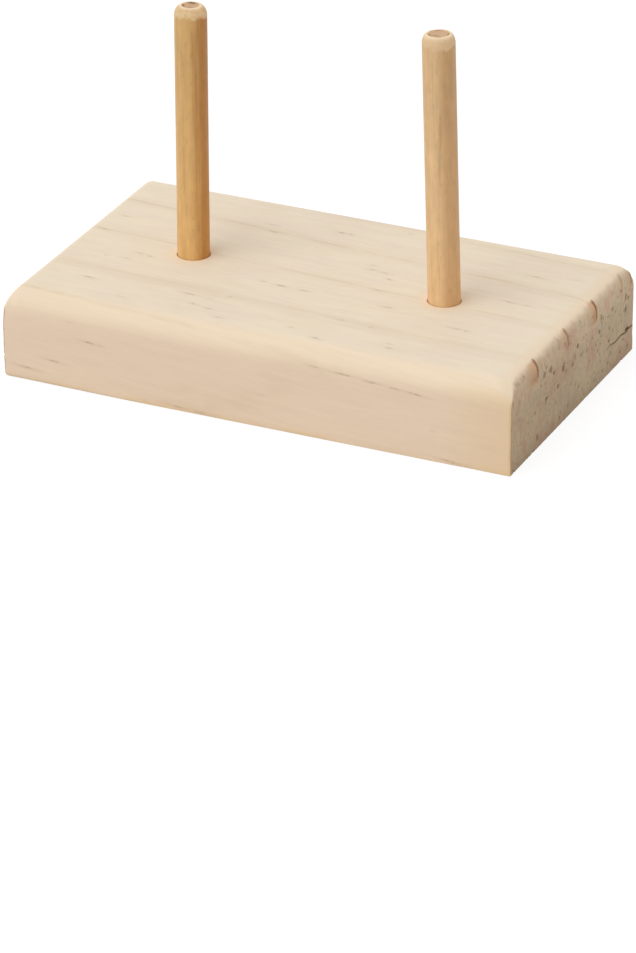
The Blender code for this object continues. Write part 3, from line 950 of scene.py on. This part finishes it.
def dowel_material(pin, pins):
    """Dowel rod: long fibre up the shaft, a pale sanded tip and darker end grain on the crown."""
    material, bench, shader = new_material(pin.slot + "_wood")
    place = bench.vector_maths("SUBTRACT", bench.node("ShaderNodeTexCoord", out="Object"), tuple(pin.foot))
    turned = {"Vector": place, "Center": (0.0, 0.0, 0.0), "Angle": pin.lean}
    upright = bench.node("ShaderNodeVectorRotate", {"rotation_type": "Y_AXIS"}, turned)
    x, y, z = (part * PER_MM for part in bench.parts(upright))
    radius, seed = pins.diameter * PER_MM / 2, pin.seed
    down = pin.reach * PER_MM - z

    # The shaft: painted shade down the side turned from the light, long streaks and short flecks
    fibre = bench.noise(x * 2.2 + seed, y * 2.2, z * 0.05, 4.0, 0.6)
    threads = bench.noise(x * 6.0, y * 6.0 + seed, z * 0.16, 3.0, 0.6)
    blotches = bench.noise(x * 0.8, y * 0.8, z * 0.30 + seed, 2.0)
    towards_shade = (x * math.cos(pin.shade_bearing) + y * math.sin(pin.shade_bearing)) / radius
    sway = (bench.noise(x * 0.5, y * 0.5, z * 0.05 + seed, 2.0) - 0.5) * 0.4 + (fibre - 0.5) * 0.9
    shaded = bench.smooth(towards_shade + sway + (threads - 0.5) * 0.5, 0.40, 0.98)
    shaft = bench.mix(shaded, pin.wood, pin.shade)
    for bearing, below, width, length, strength in pin.streaks:
        turn = math.radians(bearing)
        middle = (radius * math.cos(turn), radius * math.sin(turn), below)
        spot = bench.vector(x, y, down + (fibre - 0.5) * 6.0)
        away = bench.reach(spot, middle, (width / 2, width / 2, length / 2))
        shaft = bench.mix(bench.smooth(away, 0.3, 1.15, strength, 0.0), shaft, pin.shade)
    tone = bench.ramp(fibre * 0.4 + threads * 0.3 + blotches * 0.3, 0.34, 0.66, 0.84, 1.15)
    shaft = bench.toned(shaft, tone * bench.smooth(down, 5.0, 46.0, 0.935, 1.08))
    distance, (presence, _second, _third) = bench.cells(x * 2.4, y * 2.4, z * 0.45 + seed)
    flecks = (1.0 - bench.smooth(distance, 0.10, 0.30)) * bench.smooth(presence, 0.72, 0.80)
    shaft = bench.mix(flecks * 0.28, shaft, pins.fleck)

    # The sanded tip, with a ragged lower edge
    ragged = bench.noise(x * 1.1, y * 1.1, z * 0.1 + seed, 2.0, 0.5)
    in_front = bench.ramp((x * 0.42 - y * 0.91) / radius, 0.0, 1.0)
    reached = bench.blend(in_front, pin.sanded_side, pin.sanded_front)
    sanded = 1.0 - bench.smooth(down - reached - (ragged - 0.5) * 1.8, -0.30, 0.35)
    scuff = bench.noise(x * 1.1, y * 1.1, z * 1.3 + seed, 3.0, 0.6)
    tip = bench.mix(bench.smooth(scuff, 0.40, 0.62, 0.0, 0.65), pins.sanded, pin.wood)
    colour = bench.mix(sanded * 0.88, shaft, tip)

    # The crown: end grain with rings and dark marks, inside a painted highlight round its rim
    crown_radius = pin.crown * PER_MM / 2
    crown_x, crown_y = x - pin.middle[0] * PER_MM, y - pin.middle[1] * PER_MM
    out = (crown_x * crown_x + crown_y * crown_y) ** 0.5
    # Painted highlight in a ring round the crown, just below its edge
    rim = bench.smooth(out, crown_radius * 0.9, crown_radius)
    rim = rim * bench.smooth(out, crown_radius + 0.1, crown_radius + 0.75, 1.0, 0.0)
    colour = bench.mix(rim * bench.smooth(down, 0.6, 1.3, 0.85, 0.0), colour, pins.rim)
    crown = 1.0 - bench.smooth(out, crown_radius * 0.84, crown_radius)
    crown = crown * bench.smooth(down, 0.7, 1.1, 1.0, 0.0)
    rings = bench.maths("PINGPONG", y * 1.1 + x * 0.5 + scuff * 0.6 + seed, 0.5) * 2.0
    crown_wood = bench.mix(rings * 0.35, pins.crown, pin.wood)
    for mark_x, mark_y, half_x, half_y, strength in pin.marks:
        spot = bench.vector(crown_x + (scuff - 0.5) * 0.6, crown_y, 0.0)
        away = bench.reach(spot, (mark_x, mark_y, 0.0), (half_x, half_y, 1.0))
        crown_wood = bench.mix(bench.smooth(away, 0.3, 1.1, strength, 0.0), crown_wood, pins.dark_mark)
    colour = bench.mix(crown, colour, crown_wood)
    bench.feed(shader.inputs["Base Color"], colour)
    bench.feed(shader.inputs["Roughness"], bench.blend(sanded, 0.50, 0.78))
    height = threads * (1.0 - sanded) * 0.3 + fibre * 0.15 + scuff * sanded
    bump = bench.node("ShaderNodeBump", (), {"Strength": 0.35, "Distance": 0.05 * MM, "Height": height})
    bench.feed(shader.inputs["Normal"], bump)
    shader.inputs["Specular IOR Level"].default_value = 0.35
    return material


class THREADSTAND_OT_pins(bpy.types.Operator):
    """Build the two dowel pins, standing in their bores"""

    bl_idname = "thread_stand.pins"
    bl_label = "Dowel Pins"

    def execute(self, context):
        pins = context.scene.thread_stand_pins
        amber = Dowel("amber_pin", "left_pin", "amber_dowel")
        amber.standing(LEFT_FOOT, pins.left_lean, pins.left_reach)
        amber.tipped(pins.left_crown, (-0.17 * MM, 0.36 * MM), 1.35, 2.1, AMBER_CROWN_MARKS)
        amber.grown(pins.amber, pins.amber_shade, -4.0, AMBER_STREAKS, 2.0)
        pale = Dowel("pale_pin", "right_pin", "pale_dowel")
        pale.standing(RIGHT_FOOT, pins.right_lean, pins.right_reach)
        pale.tipped(pins.right_crown, (0.0, 0.0), 2.1, 1.7, PALE_CROWN_MARKS)
        pale.grown(pins.pale, pins.pale_shade, -12.0, PALE_STREAKS, 7.0)
        for pin in (amber, pale):
            sizes = {
                "Diameter": pins.diameter, "Reach": pin.reach, "Seat": pins.seat, "Tip": pins.tip,
                "Crown": pin.crown, "Aside": pin.middle[0], "Back": pin.middle[1],
                "Foot chamfer": pins.chamfer, "Lean": pin.lean, "Seed": pin.seed,
                "Sides": PIN_SIDES, "Rows": PIN_ROWS,
            }
            tree = pin_tree(pin.name, sizes, pin.foot, dowel_material(pin, pins))
            finish_piece(linked_object(pin.name, grown_mesh(pin.name, tree, sizes)), pin.node)
        return {"FINISHED"}


# The stage

FRAME_WIDTH, FRAME_HEIGHT = 636, 953
FOCAL_PIXELS = 5152.5
UNDERSIDE_PIXEL = (320.8, 362.64)
SENSOR_WIDTH = 36.0
KEY_DIRECTION = Vector((-0.262, -0.426, 0.866)).normalized()
KEY_DISTANCE = 4.0
KEY_SIZE = 2.67
CLIP_NEAR, CLIP_FAR = 0.01, 20.0
FLOOR_HALF_SIZE = 3.0
FLOOR_GAP = 0.05 * MM
FLOOR_GREY = (0.78, 0.78, 0.78, 1.0)
FLOOR_GLOW = 1.15
FLOOR_GLOW_SHARE = 0.75
WHITE = (1.0, 1.0, 1.0, 1.0)


def make_camera(stage):
    """A camera whose underside point falls on its own pixel of the frame."""
    azimuth, elevation = stage.azimuth, stage.elevation
    back = Vector((math.sin(azimuth) * math.cos(elevation), -math.cos(azimuth) * math.cos(elevation),
                   math.sin(elevation)))
    level = Vector((math.cos(azimuth), math.sin(azimuth), 0))
    up = back.cross(level)
    right = level * math.cos(stage.roll) + up * math.sin(stage.roll)
    up = up * math.cos(stage.roll) - level * math.sin(stage.roll)
    data = bpy.data.cameras.new("camera")
    data.sensor_width = SENSOR_WIDTH
    data.lens = FOCAL_PIXELS * SENSOR_WIDTH / FRAME_HEIGHT
    data.clip_start, data.clip_end = CLIP_NEAR, CLIP_FAR
    camera = linked_object("camera", data)
    aside = (UNDERSIDE_PIXEL[0] - FRAME_WIDTH / 2) / FOCAL_PIXELS * stage.distance
    below = (UNDERSIDE_PIXEL[1] - FRAME_HEIGHT / 2) / FOCAL_PIXELS * stage.distance
    eye = back * stage.distance - right * aside + up * below
    turn = Matrix((right, up, back)).transposed().to_4x4()
    camera.matrix_world = Matrix.Translation(eye) @ turn
    bpy.context.scene.camera = camera


def softbox(name, direction, distance, size, level):
    """A square lamp that lights a white surface facing it to the given level."""
    data = bpy.data.lights.new(name, "AREA")
    data.shape = "SQUARE"
    data.size = size
    data.energy = level * math.pi ** 2 * distance ** 2
    lamp = linked_object(name, data)
    lamp.location = direction * distance
    lamp.rotation_euler = direction.to_track_quat("Z", "Y").to_euler()


def seen_directly(bench):
    """1 for what the camera sees straight, in a reflection or through glass."""
    path = bench.node("ShaderNodeLightPath").socket.node
    names = ("Is Camera Ray", "Is Glossy Ray", "Is Transmission Ray")
    straight, glossy, through = (Wire(bench, path.outputs[name]) for name in names)
    return bench.lower(straight + glossy + through, 1.0)


def make_floor():
    """A pale floor that keeps the stand's soft shadow."""
    bm = bmesh.new()
    bmesh.ops.create_grid(bm, x_segments=1, y_segments=1, size=FLOOR_HALF_SIZE)
    floor = object_from("floor", bm)
    floor.location.z = -FLOOR_GAP
    material, bench, shader = new_material("pale_floor")
    shader.inputs["Base Color"].default_value = FLOOR_GREY
    shader.inputs["Roughness"].default_value = 0.9
    shader.inputs["Specular IOR Level"].default_value = 0.1
    glow = bench.node("ShaderNodeEmission", (), {"Color": WHITE, "Strength": FLOOR_GLOW})
    lit = Wire(bench, shader.outputs["BSDF"])
    seen = seen_directly(bench) * FLOOR_GLOW_SHARE
    mixed = bench.node("ShaderNodeMixShader", (), {0: seen, 1: lit, 2: glow})
    bench.feed(bench.tree.nodes["Material Output"].inputs["Surface"], mixed)
    floor.data.materials.append(material)


def make_room(stage):
    """Light from all round, brighter on the left, behind and low down, and a white room where it is seen."""
    world = bpy.data.worlds.new("room")
    world.use_nodes = True
    bpy.context.scene.world = world
    bench = Bench(world.node_tree)
    background = world.node_tree.nodes["Background"]
    aside, ahead, overhead = bench.parts(bench.node("ShaderNodeTexCoord", out="Generated"))
    light = stage.room_level - aside * stage.room_left + ahead * stage.room_behind
    light = light - overhead * stage.room_above
    bench.feed(background.inputs["Strength"], bench.blend(seen_directly(bench), light, 1.0))
    background.inputs["Color"].default_value = WHITE


class THREADSTAND_OT_stage(bpy.types.Operator):
    """Set up the camera, the pale floor and the studio light"""

    bl_idname = "thread_stand.stage"
    bl_label = "Stage"

    def execute(self, context):
        stage = context.scene.thread_stand_stage
        make_camera(stage)
        softbox("key_softbox", KEY_DIRECTION, KEY_DISTANCE, KEY_SIZE, stage.key_level)
        make_floor()
        make_room(stage)
        context.scene.view_settings.view_transform = "Standard"
        return {"FINISHED"}


class THREADSTAND_PT_panel(bpy.types.Panel):
    """Lists the parts of the thread stand and their sizes"""

    bl_label = "Thread Stand"
    bl_idname = "THREADSTAND_PT_panel"
    bl_space_type = "VIEW_3D"
    bl_region_type = "UI"
    bl_category = "Thread Stand"

    def draw(self, context):
        groups = (
            ("thread_stand_block", "thread_stand.block"),
            ("thread_stand_pins", "thread_stand.pins"),
            ("thread_stand_stage", "thread_stand.stage"),
        )
        for group_name, operator in groups:
            box = self.layout.box()
            box.operator(operator)
            group = getattr(context.scene, group_name)
            for name in group.bl_rna.properties.keys():
                if name not in ("rna_type", "name"):
                    box.prop(group, name)


CLASSES = (
    BlockSettings, PinSettings, StageSettings,
    THREADSTAND_OT_block, THREADSTAND_OT_pins, THREADSTAND_OT_stage, THREADSTAND_PT_panel,
)


def register():
    for cls in CLASSES:
        bpy.utils.register_class(cls)
    bpy.types.Scene.thread_stand_block = bpy.props.PointerProperty(type=BlockSettings)
    bpy.types.Scene.thread_stand_pins = bpy.props.PointerProperty(type=PinSettings)
    bpy.types.Scene.thread_stand_stage = bpy.props.PointerProperty(type=StageSettings)


def unregister():
    del bpy.types.Scene.thread_stand_stage
    del bpy.types.Scene.thread_stand_pins
    del bpy.types.Scene.thread_stand_block
    for cls in reversed(CLASSES):
        bpy.utils.unregister_class(cls)


def main():
    register()
    bpy.ops.thread_stand.stage()
    bpy.ops.thread_stand.block()
    bpy.ops.thread_stand.pins()


if __name__ == "__main__":
    main()
